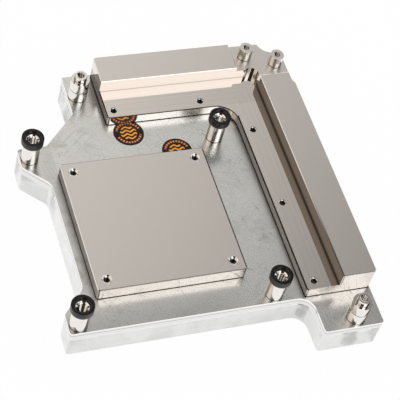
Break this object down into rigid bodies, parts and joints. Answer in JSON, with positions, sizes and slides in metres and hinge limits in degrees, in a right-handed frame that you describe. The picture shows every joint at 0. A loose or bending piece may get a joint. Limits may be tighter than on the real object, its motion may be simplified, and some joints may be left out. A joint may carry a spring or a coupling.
{
  "type": "liquid cooling cold plate",
  "caption": "Nickel-plated cold plate on a clear coolant body, with a raised processor pad, an L-shaped regulator block and threaded standoffs for a circuit board.",
  "frame": {"origin": "middle of the outline on the underside of the clear body", "axes": "+Z out of the contact side, towards the circuit board; +Y along the long regulator bar, away from the foot; +X along the short regulator bar, towards the corner shelf"},
  "size_m": [0.1168, 0.1324, 0.0278],
  "materials": {
    "nickel_plate": "nickel-plated copper, finely ground",
    "clear_acrylic": "clear, polished edges",
    "seal_rubber": "matte",
    "jet_steel": "rolled sheet",
    "bright_nickel": "bright nickel plating",
    "bushing_black": "soft black plastic with a slight gloss",
    "screw_steel": "plated steel",
    "label_print": "glossy printed film"
  },
  "bodies": {
    "root": {"cold_plate_base": "nickel_plate", "acrylic_body": "clear_acrylic", "seal_ring": "seal_rubber", "jet_plate": "jet_steel", "cpu_standoff_1": "bright_nickel", "cpu_standoff_2": "bright_nickel", "cpu_standoff_3": "bright_nickel", "cpu_standoff_4": "bright_nickel", "cpu_bushing_1": "bushing_black", "cpu_bushing_2": "bushing_black", "cpu_bushing_3": "bushing_black", "cpu_bushing_4": "bushing_black", "tall_standoff_1": "bright_nickel", "tall_standoff_2": "bright_nickel", "short_standoff_1": "bright_nickel", "short_standoff_2": "bright_nickel", "clamp_screw_1": "screw_steel", "clamp_screw_2": "screw_steel", "assembly_screw_1": "screw_steel", "assembly_screw_2": "screw_steel", "assembly_screw_3": "screw_steel", "assembly_screw_4": "screw_steel", "assembly_screw_5": "screw_steel", "assembly_screw_6": "screw_steel", "assembly_screw_7": "screw_steel", "assembly_screw_8": "screw_steel", "assembly_screw_9": "screw_steel", "label_1": "label_print", "label_2": "label_print"}
  },
  "joints": []
}
